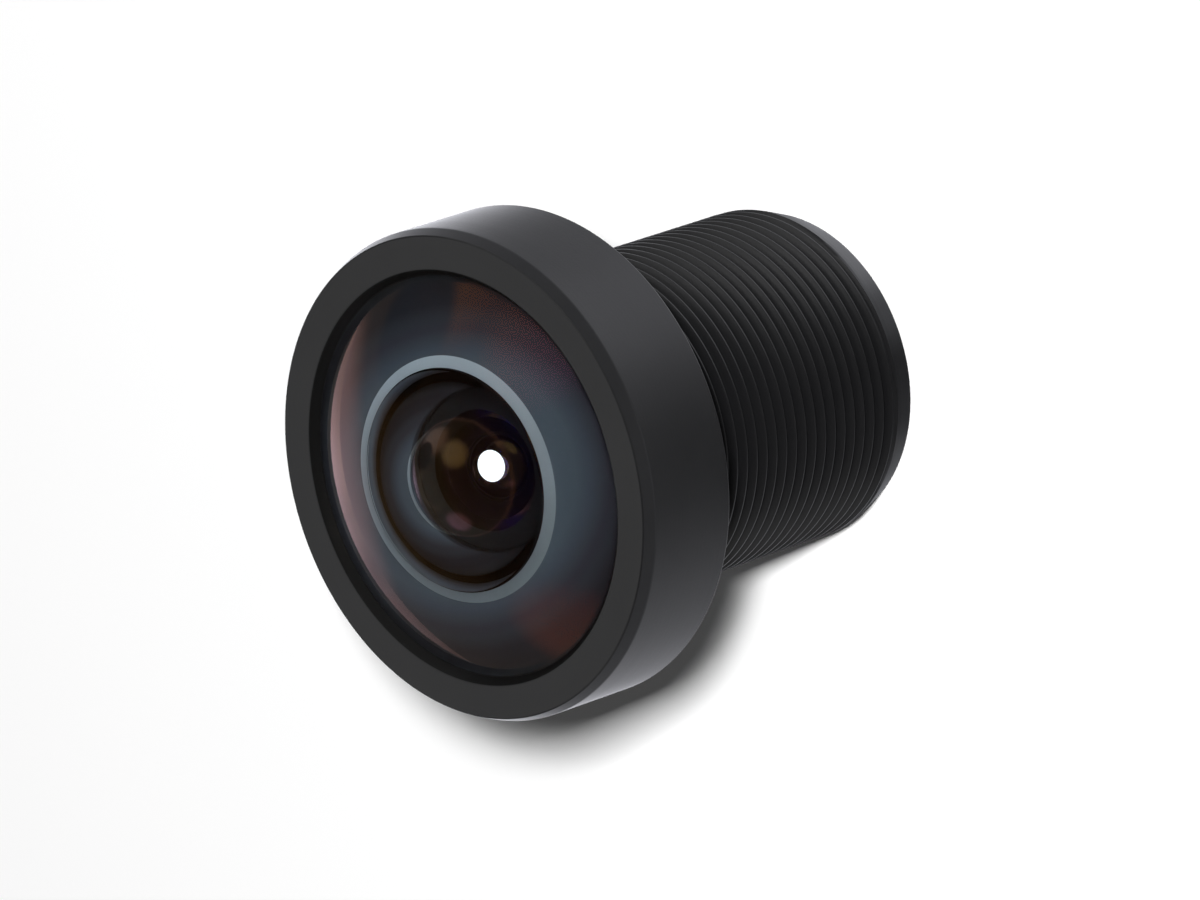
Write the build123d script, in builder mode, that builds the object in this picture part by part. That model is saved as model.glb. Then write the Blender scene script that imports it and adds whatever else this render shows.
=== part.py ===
from build123d import *
import os

os.makedirs("parts", exist_ok=True)

# Wide-angle board lens with an M12 x 0.5 barrel and an oversize head, in millimetres.
# The optical axis is +Z, the barrel's end face lies on Z = 0 and the front glass is on top.
# A bulge is how far a polished surface stands proud of its flat land, and a hollow how far it sinks in.

# Barrel, outside
thread_diameter = 11.9
nose_length = 1.16
nose_taper = 0.35
relief_width = 0.7
relief_depth = 0.4
relief_run_out = 0.3
barrel_end_bevel = 0.12

# Head, from its outer wall inwards
head_diameter = 17.34
head_height = 4.25
head_bevel_height = 0.45
head_bevel_width = 0.18
head_rear_bevel = 0.15
cap_wall = 0.57
cap_thread_clearance = 0.03
cup_wall = 0.67
cup_wall_setback = 0.15
lip_height = 0.3
lip_slope_width = 0.25
lip_overlap = 0.31

# Barrel, from its outer wall inwards
front_bore_wall = 1.13
element_clearance = 0.02
bore_step = 0.65
rear_bore_step = 0.5
ledge_clearance = 0.05
spacer_clearance = 0.03

# Front element, a strong meniscus
e1_front_bulge = 2.41
e1_rear_hollow = 1.975
e1_edge_thickness = 0.9
e1_rim_width = 0.35
e1_rim_height = 0.2
e1_cup_clearance = 0.04

# Front seal, clamped in its groove
seal_groove_setback = 0.26
seal_groove_width = 0.85
seal_groove_depth = 0.55
seal_side_clearance = 0.05

# Second element, flat in front and hollow behind
e2_front_land = 1.55
e2_rear_land = 1.8
e2_rear_hollow = 1.31
e2_edge_thickness = 1.94

# Third element, thick, domed in front and flat behind
e3_front_land = 0.8
e3_front_bulge = 0.6
e3_edge_thickness = 1.8

# Rear group: elements four to seven share one diameter
rear_group_land = 0.7
e4_rear_bulge = 0.55
e4_edge_thickness = 0.6
e5_centre_thickness = 0.6
cement_bulge = 0.95
e6_edge_thickness = 1.1
e7_front_bulge = 0.45
e7_edge_thickness = 1.1

# Air spaces along the axis, from glass to glass
air_1_2 = 3.32
air_2_3 = 1.9
air_stop_4 = 0.5
air_4_5 = 0.15
air_6_7 = 0.35

# Aperture stop and light baffles
stop_diameter = 2.2
stop_thickness = 0.1
stop_edge_slope = 0.25
baffle_thickness = 0.05
front_baffle_lip = 0.1

# Front spacer
front_spacer_land = 0.6
front_spacer_step_depth = 0.3
front_spacer_step_width = 0.2

# Rear retaining ring, turned in with a pin spanner
ring_thread_step = 0.5
ring_thread_clearance = 0.02
ring_length = 1.0
ring_bore_flare = 0.4
ring_slot_width = 0.7
ring_slot_depth = 0.45
ring_slot_count = 2
ring_setback = 0.925
ring_clamp_gap = 0.1

# Filter window in the barrel's end
rear_wall = 1.0
filter_thickness = 0.3
filter_recess = 1.2
filter_clearance = 0.05

# Radii of the head
cap_thread_radius = head_diameter / 2 - cap_wall
flange_radius = cap_thread_radius - cap_thread_clearance
e1_cup_radius = flange_radius - cup_wall
e1_radius = e1_cup_radius - e1_cup_clearance
e1_front_rim = e1_radius - lip_overlap
groove_outer = e1_radius - seal_groove_setback
groove_inner = groove_outer - seal_groove_width

# Radii of the barrel, its bores and what they hold
thread_radius = thread_diameter / 2
relief_radius = thread_radius - relief_depth
nose_end_radius = thread_radius - nose_taper
e2_bore_radius = relief_radius - front_bore_wall
e2_radius = e2_bore_radius - element_clearance
e3_bore_radius = e2_bore_radius - bore_step
e3_radius = e3_bore_radius - element_clearance
rear_bore_radius = e3_bore_radius - rear_bore_step
rear_group_radius = rear_bore_radius - element_clearance
rear_group_rim = rear_group_radius - rear_group_land
ring_bore_radius = rear_bore_radius + ring_thread_step
ring_radius = ring_bore_radius - ring_thread_clearance
filter_bore_radius = nose_end_radius - rear_wall
filter_radius = filter_bore_radius - filter_clearance

# Rims of the polished surfaces
e1_rear_land_radius = e2_radius - front_spacer_land
e1_rear_rim = e1_rear_land_radius - e1_rim_width
e2_front_rim = e2_radius - e2_front_land
e2_rear_rim = e2_radius - e2_rear_land
e3_front_rim = e3_radius - e3_front_land

# Stations along the axis, from the barrel's end face up to the front glass
ring_rear = filter_recess + ring_setback
ring_front = ring_rear + ring_length
e7_rear_z = ring_front + baffle_thickness
e7_front_z = e7_rear_z + e7_edge_thickness
e6_rear_z = e7_front_z + e7_front_bulge + air_6_7
cement_edge_z = e6_rear_z + e6_edge_thickness
cement_z = cement_edge_z + cement_bulge
e5_front_z = cement_z + e5_centre_thickness
e4_rear_z = e5_front_z + air_4_5 + e4_rear_bulge
e4_front_z = e4_rear_z + e4_edge_thickness
stop_rear = e4_front_z + air_stop_4
e3_rear_z = stop_rear + stop_thickness
e3_front_z = e3_rear_z + e3_edge_thickness
e2_hollow_z = e3_front_z + e3_front_bulge + air_2_3
e2_rear_z = e2_hollow_z - e2_rear_hollow
e2_front_z = e2_rear_z + e2_edge_thickness
e1_hollow_z = e2_front_z + air_1_2
e1_rim_z = e1_hollow_z - e1_rear_hollow
head_seat = e1_rim_z - e1_rim_height
lip_seat = head_seat + e1_edge_thickness
e1_front_z = lip_seat + e1_front_bulge
head_front = lip_seat + lip_height
head_rear = head_front - head_height
thread_top = head_rear - relief_width
middle_top = e2_rear_z - baffle_thickness


def polished_arc(vertex, rim, land):
    """Arc of a polished surface, from its vertex on the axis out to its rim on the flat land."""
    TangentArc((0, vertex), (rim, land), tangent=(1, 0))


def ring_section(bottom, top, bore_bottom, bore_top, outer):
    """Half section of a ring whose bore may taper, from its heights and radii."""
    with BuildSketch(Plane.XZ, mode=Mode.PRIVATE) as section:
        with BuildLine():
            Polyline((bore_bottom, bottom), (outer, bottom), (outer, top), (bore_top, top), close=True)
        make_face()
    return section.sketch


# Barrel, one turned piece with its flange, thread, relief groove and stepped bore
with BuildPart() as barrel:
    with BuildSketch(Plane.XZ):
        with BuildLine():
            Polyline(
                (filter_bore_radius, 0),
                (nose_end_radius, 0),
                (thread_radius, nose_length),
                (thread_radius, thread_top),
                (relief_radius, thread_top + relief_run_out),
                (relief_radius, head_rear),
                (flange_radius, head_rear),
                (flange_radius, lip_seat - cup_wall_setback),
                (e1_cup_radius, lip_seat - cup_wall_setback),
                (e1_cup_radius, head_seat),
                (groove_outer, head_seat),
                (groove_outer, head_seat - seal_groove_depth),
                (groove_inner, head_seat - seal_groove_depth),
                (groove_inner, head_seat),
                (e2_bore_radius, head_seat),
                (e2_bore_radius, middle_top - ledge_clearance),
                (e3_bore_radius, middle_top - ledge_clearance),
                (e3_bore_radius, e3_rear_z),
                (rear_bore_radius, e3_rear_z),
                (rear_bore_radius, ring_front + ring_clamp_gap),
                (ring_bore_radius, ring_front + ring_clamp_gap),
                (ring_bore_radius, filter_recess),
                (filter_bore_radius, filter_recess),
                close=True,
            )
        make_face()
    revolve(axis=Axis.Z)
    chamfer(barrel.edges().filter_by(GeomType.CIRCLE).group_by(Axis.Z)[0], barrel_end_bevel)

# Front cap, screwed over the flange, with the sloped lip that holds the front element
with BuildPart() as front_cap:
    with BuildSketch(Plane.XZ):
        with BuildLine():
            Polyline(
                (e1_front_rim, lip_seat),
                (e1_front_rim + lip_slope_width, head_front),
                (head_diameter / 2 - head_bevel_width, head_front),
                (head_diameter / 2, head_front - head_bevel_height),
                (head_diameter / 2, head_rear + head_rear_bevel),
                (head_diameter / 2 - head_rear_bevel, head_rear),
                (cap_thread_radius, head_rear),
                (cap_thread_radius, lip_seat),
                close=True,
            )
        make_face()
    revolve(axis=Axis.Z)

# Front seal, a flat rubber ring clamped between the groove's floor and the front element
with BuildPart() as front_seal:
    revolve(
        ring_section(
            head_seat - seal_groove_depth,
            head_seat,
            groove_inner + seal_side_clearance,
            groove_inner + seal_side_clearance,
            groove_outer - seal_side_clearance,
        ),
        axis=Axis.Z,
    )

# Front element: domed front, deep hollow behind with a ground rim, flat lands on both sides
with BuildPart() as front_element:
    with BuildSketch(Plane.XZ):
        with BuildLine():
            polished_arc(e1_front_z, e1_front_rim, lip_seat)
            Polyline(
                (e1_front_rim, lip_seat),
                (e1_radius, lip_seat),
                (e1_radius, head_seat),
                (e1_rear_land_radius, head_seat),
                (e1_rear_rim, e1_rim_z),
            )
            polished_arc(e1_hollow_z, e1_rear_rim, e1_rim_z)
            Line((0, e1_hollow_z), (0, e1_front_z))
        make_face()
    revolve(axis=Axis.Z)

# Front spacer, a stepped funnel between the front element and the second one
with BuildPart() as front_spacer:
    step_z = head_seat - front_spacer_step_depth
    with BuildSketch(Plane.XZ):
        with BuildLine():
            Polyline(
                (e2_front_rim, e2_front_z),
                (e2_radius, e2_front_z),
                (e2_radius, head_seat),
                (e1_rear_land_radius, head_seat),
                (e1_rear_land_radius, step_z),
                (e1_rear_land_radius - front_spacer_step_width, step_z),
                close=True,
            )
        make_face()
    revolve(axis=Axis.Z)

with BuildPart() as second_element:
    with BuildSketch(Plane.XZ):
        with BuildLine():
            polished_arc(e2_hollow_z, e2_rear_rim, e2_rear_z)
            Polyline(
                (e2_rear_rim, e2_rear_z),
                (e2_radius, e2_rear_z),
                (e2_radius, e2_front_z),
                (0, e2_front_z),
                (0, e2_hollow_z),
            )
        make_face()
    revolve(axis=Axis.Z)

# Front baffle, a blackened foil behind the second element
with BuildPart() as front_baffle:
    foil_bore = e2_rear_rim - front_baffle_lip
    revolve(ring_section(middle_top, e2_rear_z, foil_bore, foil_bore, e2_radius), axis=Axis.Z)

with BuildPart() as middle_spacer:
    spacer_radius = e3_bore_radius - spacer_clearance
    revolve(
        ring_section(e3_front_z, middle_top, e3_front_rim, e3_front_rim, spacer_radius),
        axis=Axis.Z,
    )

# Third element, whose flat rear face rests on the barrel's inner ledge and on the stop
with BuildPart() as third_element:
    with BuildSketch(Plane.XZ):
        with BuildLine():
            polished_arc(e3_front_z + e3_front_bulge, e3_front_rim, e3_front_z)
            Polyline(
                (e3_front_rim, e3_front_z),
                (e3_radius, e3_front_z),
                (e3_radius, e3_rear_z),
                (0, e3_rear_z),
                (0, e3_front_z + e3_front_bulge),
            )
        make_face()
    revolve(axis=Axis.Z)

# Aperture stop, a thin disc whose hole opens towards the rear
with BuildPart() as aperture_stop:
    stop_radius = stop_diameter / 2
    revolve(
        ring_section(stop_rear, e3_rear_z, stop_radius + stop_edge_slope, stop_radius, rear_group_radius),
        axis=Axis.Z,
    )

with BuildPart() as stop_spacer:
    revolve(
        ring_section(e4_front_z, stop_rear, rear_group_rim, rear_group_rim, rear_group_radius),
        axis=Axis.Z,
    )

# Fourth element, flat towards the stop and domed behind
with BuildPart() as fourth_element:
    with BuildSketch(Plane.XZ):
        with BuildLine():
            polished_arc(e4_rear_z - e4_rear_bulge, rear_group_rim, e4_rear_z)
            Polyline(
                (rear_group_rim, e4_rear_z),
                (rear_group_radius, e4_rear_z),
                (rear_group_radius, e4_front_z),
                (0, e4_front_z),
                (0, e4_rear_z - e4_rear_bulge),
            )
        make_face()
    revolve(axis=Axis.Z)

with BuildPart() as thin_spacer:
    revolve(
        ring_section(e5_front_z, e4_rear_z, rear_group_rim, rear_group_rim, rear_group_radius),
        axis=Axis.Z,
    )

# Cemented pair: the hollow rear of the fifth element is filled by the dome of the sixth
with BuildPart() as fifth_element:
    with BuildSketch(Plane.XZ):
        with BuildLine():
            polished_arc(cement_z, rear_group_radius, cement_edge_z)
            Polyline(
                (rear_group_radius, cement_edge_z),
                (rear_group_radius, e5_front_z),
                (0, e5_front_z),
                (0, cement_z),
            )
        make_face()
    revolve(axis=Axis.Z)

with BuildPart() as sixth_element:
    with BuildSketch(Plane.XZ):
        with BuildLine():
            polished_arc(cement_z, rear_group_radius, cement_edge_z)
            Polyline(
                (rear_group_radius, cement_edge_z),
                (rear_group_radius, e6_rear_z),
                (0, e6_rear_z),
                (0, cement_z),
            )
        make_face()
    revolve(axis=Axis.Z)

with BuildPart() as rear_spacer:
    revolve(
        ring_section(e7_front_z, e6_rear_z, rear_group_rim, rear_group_rim, rear_group_radius),
        axis=Axis.Z,
    )

# Seventh element, domed in front and flat behind
with BuildPart() as seventh_element:
    with BuildSketch(Plane.XZ):
        with BuildLine():
            polished_arc(e7_front_z + e7_front_bulge, rear_group_rim, e7_front_z)
            Polyline(
                (rear_group_rim, e7_front_z),
                (rear_group_radius, e7_front_z),
                (rear_group_radius, e7_rear_z),
                (0, e7_rear_z),
                (0, e7_front_z + e7_front_bulge),
            )
        make_face()
    revolve(axis=Axis.Z)

# Rear baffle, a blackened foil between the last element and the retaining ring
with BuildPart() as rear_baffle:
    revolve(
        ring_section(ring_front, e7_rear_z, rear_group_rim, rear_group_rim, rear_group_radius),
        axis=Axis.Z,
    )

# Rear retaining ring, with a flared bore and spanner slots across its rear face
with BuildPart() as retaining_ring:
    flared_bore = rear_group_rim + ring_bore_flare
    revolve(ring_section(ring_rear, ring_front, flared_bore, rear_group_rim, ring_radius), axis=Axis.Z)
    with BuildSketch(Plane.XY.offset(ring_rear)):
        with PolarLocations(ring_radius, ring_slot_count):
            Rectangle(2 * (ring_radius - rear_group_rim), ring_slot_width)
    extrude(amount=ring_slot_depth, mode=Mode.SUBTRACT)

# Filter window, a flat disc cemented against the shoulder in the barrel's end
with BuildPart() as filter_window:
    with BuildSketch(Plane.XY.offset(filter_recess - filter_thickness)):
        Circle(filter_radius)
    extrude(amount=filter_thickness)

barrel.part.label = "barrel"
front_cap.part.label = "front_cap"
front_seal.part.label = "front_seal"
front_element.part.label = "front_element"
front_spacer.part.label = "front_spacer"
second_element.part.label = "second_element"
front_baffle.part.label = "front_baffle"
middle_spacer.part.label = "middle_spacer"
third_element.part.label = "third_element"
aperture_stop.part.label = "aperture_stop"
stop_spacer.part.label = "stop_spacer"
fourth_element.part.label = "fourth_element"
thin_spacer.part.label = "thin_spacer"
fifth_element.part.label = "fifth_element"
sixth_element.part.label = "sixth_element"
rear_spacer.part.label = "rear_spacer"
seventh_element.part.label = "seventh_element"
rear_baffle.part.label = "rear_baffle"
retaining_ring.part.label = "retaining_ring"
filter_window.part.label = "filter_window"

export_step(barrel.part, "parts/barrel.step")
export_step(front_cap.part, "parts/front_cap.step")
export_step(front_seal.part, "parts/front_seal.step")
export_step(front_element.part, "parts/front_element.step")
export_step(front_spacer.part, "parts/front_spacer.step")
export_step(second_element.part, "parts/second_element.step")
export_step(front_baffle.part, "parts/front_baffle.step")
export_step(middle_spacer.part, "parts/middle_spacer.step")
export_step(third_element.part, "parts/third_element.step")
export_step(aperture_stop.part, "parts/aperture_stop.step")
export_step(stop_spacer.part, "parts/stop_spacer.step")
export_step(fourth_element.part, "parts/fourth_element.step")
export_step(thin_spacer.part, "parts/thin_spacer.step")
export_step(fifth_element.part, "parts/fifth_element.step")
export_step(sixth_element.part, "parts/sixth_element.step")
export_step(rear_spacer.part, "parts/rear_spacer.step")
export_step(seventh_element.part, "parts/seventh_element.step")
export_step(rear_baffle.part, "parts/rear_baffle.step")
export_step(retaining_ring.part, "parts/retaining_ring.step")
export_step(filter_window.part, "parts/filter_window.step")
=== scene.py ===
"""Looks of a wide-angle M12 board lens: turned black metal, coated glass and a white studio."""

import logging
import math
from dataclasses import dataclass
from enum import Enum, IntEnum

import bpy
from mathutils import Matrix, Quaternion, Vector


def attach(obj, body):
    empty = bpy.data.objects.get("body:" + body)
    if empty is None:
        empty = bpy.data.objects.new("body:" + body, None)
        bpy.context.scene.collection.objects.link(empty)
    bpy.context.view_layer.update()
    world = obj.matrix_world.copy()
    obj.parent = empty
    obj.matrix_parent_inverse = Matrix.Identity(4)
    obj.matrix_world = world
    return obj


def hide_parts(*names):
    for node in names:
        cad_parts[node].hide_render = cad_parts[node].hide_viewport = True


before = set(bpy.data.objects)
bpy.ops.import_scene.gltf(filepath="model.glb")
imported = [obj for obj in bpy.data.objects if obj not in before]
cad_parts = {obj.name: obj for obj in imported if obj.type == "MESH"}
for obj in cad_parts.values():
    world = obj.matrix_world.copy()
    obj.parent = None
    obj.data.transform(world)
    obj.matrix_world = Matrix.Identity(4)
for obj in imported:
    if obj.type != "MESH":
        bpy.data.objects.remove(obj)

LOG = logging.getLogger("board_lens")
MM = 0.001
TO_MM = 1 / MM
MERGE_GAP = 2e-7
SEAM_GAP = 1e-6
LEVEL_GAP = 1e-7
TRIM_GAP = 1e-8
SMOOTH_ANGLE = math.radians(40)
BODY = "root"

Point = tuple[float, float]
Colour = tuple[float, float, float]


class Shape(Enum):
    """Whether a turned section runs round a bore or ends on the optical axis at both ends."""

    RING = "ring"
    SOLID = "solid"


class GlassFace(IntEnum):
    """Material slots of the front element."""

    DOME = 0
    LAND = 1
    RIM = 2
    EDGE = 3
    HOLLOW = 4


# Sections


def dome(rim: float, land: float, vertex: float, rings: int = 20) -> list[Point]:
    """Points of a polished surface from its rim in to the last ring before its vertex.

    Args:
        rim: Radius where the surface meets its land, in millimetres.
        land: Height of the land.
        vertex: Height of the surface on the axis.
        rings: Number of steps between rim and axis.

    Returns:
        Radius and height of each ring, rim first.
    """
    depth = vertex - land
    radius = (rim**2 + depth**2) / (2 * depth)
    half_angle = math.asin(rim / abs(radius))
    steps = (half_angle * (rings - i) / rings for i in range(rings))
    return [(abs(radius) * math.sin(a), vertex - radius * (1 - math.cos(a))) for a in steps]


def eased(points: list[Point], size: float, closed: bool = True) -> list[Point]:
    """Rounds the corners of a section, as deburring leaves them on a turned part.

    Args:
        points: The sharp section.
        size: Length that each corner loses along both its sides.
        closed: Whether the last point runs on to the first.

    Returns:
        The section with five points in place of each corner, the outer two to hold the flats flat.
    """
    most, reach, pull = 0.35, 1.3, 0.3
    rounded: list[Point] = []
    count = len(points)
    for i, corner in enumerate(points):
        if not closed and i in (0, count - 1):
            rounded.append(corner)
            continue
        here = Vector(corner)
        before = Vector(points[i - 1]) - here
        after = Vector(points[(i + 1) % count]) - here
        cut = min(size, before.length * most, after.length * most)
        first = here + before.normalized() * cut
        last = here + after.normalized() * cut
        middle = (first + last) * (1 - pull) / 2 + here * pull
        holds = (here + before.normalized() * cut * reach, here + after.normalized() * cut * reach)
        rounded += [tuple(point) for point in (holds[0], first, middle, last, holds[1])]
    return rounded


# Modelling


def leave_edit_mode() -> None:
    """Goes back to object mode if a mesh is open for editing."""
    if bpy.context.mode != "OBJECT":
        bpy.ops.object.mode_set(mode="OBJECT")


def begin_piece() -> None:
    """Deselects everything, so that the next primitive is edited alone."""
    leave_edit_mode()
    bpy.ops.object.select_all(action="DESELECT")


@dataclass
class Lathe:
    """Turns a mesh about the optical axis, ring by ring, with edit-mode operators."""

    name: str
    segments: int = 256
    radius: float = 0.0
    height: float = 0.0

    def chuck(self, point: Point) -> None:
        """Starts a piece with one ring at a section point.

        Args:
            point: Radius and height of the ring, in millimetres.
        """
        begin_piece()
        self.radius, self.height = point
        bpy.ops.mesh.primitive_circle_add(
            vertices=self.segments, radius=self.radius * MM, location=(0, 0, self.height * MM)
        )
        piece = bpy.context.object
        piece.name = self.name
        bpy.ops.object.transform_apply(location=True, rotation=True, scale=True)
        bpy.ops.object.mode_set(mode="EDIT")
        bpy.ops.mesh.select_all(action="SELECT")

    def cut_to(self, point: Point) -> None:
        """Extrudes the selected ring to the next section point.

        Args:
            point: Radius and height of the new ring, in millimetres.
        """
        radius, height = point
        rise = (0, 0, (height - self.height) * MM)
        bpy.ops.mesh.extrude_region_move(TRANSFORM_OT_translate={"value": rise})
        grow = radius / self.radius
        bpy.ops.transform.resize(value=(grow, grow, 1), center_override=(0, 0, height * MM))
        self.radius, self.height = radius, height

    def close_pole(self, vertex: float) -> None:
        """Draws the selected ring together into one vertex on the axis.

        Args:
            vertex: Height of that vertex, in millimetres.
        """
        rise = (0, 0, (vertex - self.height) * MM)
        bpy.ops.mesh.extrude_region_move(TRANSFORM_OT_translate={"value": rise})
        bpy.ops.mesh.merge(type="CENTER")

    def select_open_ring(self) -> None:
        """Selects the edges that have a face on one side only."""
        bpy.ops.mesh.select_mode(type="EDGE")
        bpy.ops.mesh.select_all(action="DESELECT")
        bpy.ops.mesh.select_non_manifold(
            use_wire=False, use_boundary=True, use_multi_face=False, use_non_contiguous=False, use_verts=False
        )

    def part_off(self) -> bpy.types.Object:
        """Merges the seams, turns the faces outwards and shades the finished piece.

        Returns:
            The piece, in object mode.
        """
        bpy.ops.mesh.select_all(action="SELECT")
        bpy.ops.mesh.remove_doubles(threshold=MERGE_GAP)
        bpy.ops.mesh.normals_make_consistent(inside=False)
        bpy.ops.object.mode_set(mode="OBJECT")
        bpy.ops.object.shade_smooth_by_angle(angle=SMOOTH_ANGLE)
        return bpy.context.object

    def turn(self, section: list[Point], shape: Shape, poles: Point = (0.0, 0.0)) -> bpy.types.Object:
        """Makes a whole turned piece.

        Args:
            section: Radius and height of each ring, in order.
            shape: Whether the section closes round a bore or on the axis.
            poles: Heights of the first and last vertex on the axis, for a solid.

        Returns:
            The finished piece.
        """
        self.chuck(section[0])
        for point in section[1:]:
            self.cut_to(point)
        if shape is Shape.RING:
            self.cut_to(section[0])
        else:
            self.close_pole(poles[1])
            self.select_open_ring()
            self.height = section[0][1]
            self.close_pole(poles[0])
        return self.part_off()


def washer(inner: float, outer: float, rear: float, front: float) -> tuple[Point, ...]:
    """Section of a plain ring, from its radii and the heights of its ends, in millimetres."""
    return (inner, rear), (outer, rear), (outer, front), (inner, front)


def axis_distance(face: bpy.types.MeshPolygon) -> float:
    """Distance of a face's centre from the optical axis, in millimetres."""
    return math.hypot(face.center.x, face.center.y) / MM


def finish_piece(piece: bpy.types.Object, node: str, *materials: bpy.types.Material) -> bpy.types.Object:
    """Dresses a piece and puts it in the frame in place of its CAD node.

    Args:
        piece: The modelled piece.
        node: Name of the CAD node that it stands for.
        *materials: Its materials, in the order of their slots.

    Returns:
        The same piece.
    """
    for material in materials:
        piece.data.materials.append(material)
    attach(piece, BODY)
    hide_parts(node)
    LOG.info("%s: %d faces", piece.name, len(piece.data.polygons))
    return piece


# Finishes


class Nodes:
    """Short hand for building one node tree."""

    def __init__(self, tree: bpy.types.NodeTree) -> None:
        """Empties the tree.

        Args:
            tree: The material's, group's or world's node tree.
        """
        self.tree = tree
        tree.nodes.clear()

    def add(self, kind: str, **settings: object) -> bpy.types.Node:
        """Adds a node and sets its properties.

        Args:
            kind: Node type, without the ShaderNode prefix unless it is a group node.
            **settings: Property values by name.

        Returns:
            The new node.
        """
        node = self.tree.nodes.new(kind if kind.startswith("Node") else "ShaderNode" + kind)
        for name, value in settings.items():
            setattr(node, name, value)
        return node

    def join(self, source: bpy.types.NodeSocket, target: bpy.types.NodeSocket) -> None:
        """Links an output to an input."""
        self.tree.links.new(source, target)

    def feed(self, target: bpy.types.NodeSocket, value: object) -> None:
        """Gives an input a socket to be linked to, or a constant."""
        if isinstance(value, bpy.types.NodeSocket):
            self.join(value, target)
        else:
            target.default_value = value

    def show(self, shader: bpy.types.NodeSocket, kind: str = "OutputMaterial") -> None:
        """Links a shader to a new output node."""
        self.join(shader, self.add(kind).inputs[0])

    def math(self, operation: str, *values: object) -> bpy.types.NodeSocket:
        """Adds a Math node.

        Args:
            operation: Name of the operation.
            *values: A socket or a number for each input.

        Returns:
            The node's output.
        """
        node = self.add("Math", operation=operation)
        for socket, value in zip(node.inputs, values):
            self.feed(socket, value)
        return node.outputs[0]

    def vector(self, operation: str, *values: object) -> bpy.types.NodeSocket:
        """Adds a Vector Math node.

        Args:
            operation: Name of the operation.
            *values: A socket, vector or number for each input.

        Returns:
            The output that the operation gives.
        """
        node = self.add("VectorMath", operation=operation)
        inputs = (node.inputs[0], node.inputs["Scale"]) if operation == "SCALE" else node.inputs
        for socket, value in zip(inputs, values):
            self.feed(socket, value)
        return node.outputs["Value" if operation in ("LENGTH", "DOT_PRODUCT") else "Vector"]

    def blend(self, factor: bpy.types.NodeSocket, first: object, second: object) -> bpy.types.NodeSocket:
        """Mixes two colours.

        Args:
            factor: Mask from 0, the first colour, to 1, the second.
            first: Linear colour or a socket.
            second: Linear colour or a socket.

        Returns:
            The mixed colour.
        """
        node = self.add("Mix", data_type="RGBA")
        self.join(factor, node.inputs[0])
        for socket, colour in zip(node.inputs[6:8], (first, second)):
            self.feed(socket, colour if isinstance(colour, bpy.types.NodeSocket) else (*colour, 1))
        return node.outputs[2]

    def mix(self, factor: bpy.types.NodeSocket, first: object, second: object) -> bpy.types.NodeSocket:
        """Mixes two values, as blend does colours."""
        node = self.add("Mix", data_type="FLOAT")
        self.join(factor, node.inputs[0])
        self.feed(node.inputs[2], first)
        self.feed(node.inputs[3], second)
        return node.outputs[0]

    def noise(self, place: bpy.types.NodeSocket, scale: object, detail: float) -> bpy.types.NodeSocket:
        """Adds soft noise.

        Args:
            place: Coordinates.
            scale: Spots per unit, a socket or a number.
            detail: Octaves.

        Returns:
            The noise, from 0 to 1.
        """
        node = self.add("TexNoise")
        self.join(place, node.inputs["Vector"])
        self.feed(node.inputs["Scale"], scale)
        node.inputs["Detail"].default_value = detail
        return node.outputs[0]

    def ramp(
        self, factor: bpy.types.NodeSocket, stops: list[tuple[float, Colour]], interpolation: str = "LINEAR"
    ) -> bpy.types.NodeSocket:
        """Adds a colour ramp.

        Args:
            factor: Place on the ramp.
            stops: Place and linear colour of each stop, in order.
            interpolation: How the ramp runs from stop to stop.

        Returns:
            The colour.
        """
        node = self.add("ValToRGB")
        node.color_ramp.interpolation = interpolation
        marks = node.color_ramp.elements
        while len(marks) < len(stops):
            marks.new(0.5)
        for mark, (place, colour) in zip(marks, stops):
            mark.position = place
            mark.color = (*colour, 1)
        self.join(factor, node.inputs[0])
        return node.outputs[0]

    def fade(self, value: bpy.types.NodeSocket, start: float, end: float, *levels: float) -> bpy.types.NodeSocket:
        """Adds a smooth step.

        Args:
            value: What is read.
            start: Value where the step starts.
            end: Value where it ends.
            *levels: Levels before and after it, 0 and 1 unless given.

        Returns:
            The level.
        """
        node = self.add("MapRange", interpolation_type="SMOOTHSTEP")
        for name, item in zip(("Value", "From Min", "From Max", "To Min", "To Max"), (value, start, end, *levels)):
            self.feed(node.inputs[name], item)
        return node.outputs["Result"]


def new_material(name: str) -> tuple[bpy.types.Material, Nodes]:
    """Makes a material with an empty node tree."""
    material = bpy.data.materials.new(name)
    material.use_nodes = True
    return material, Nodes(material.node_tree)


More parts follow.
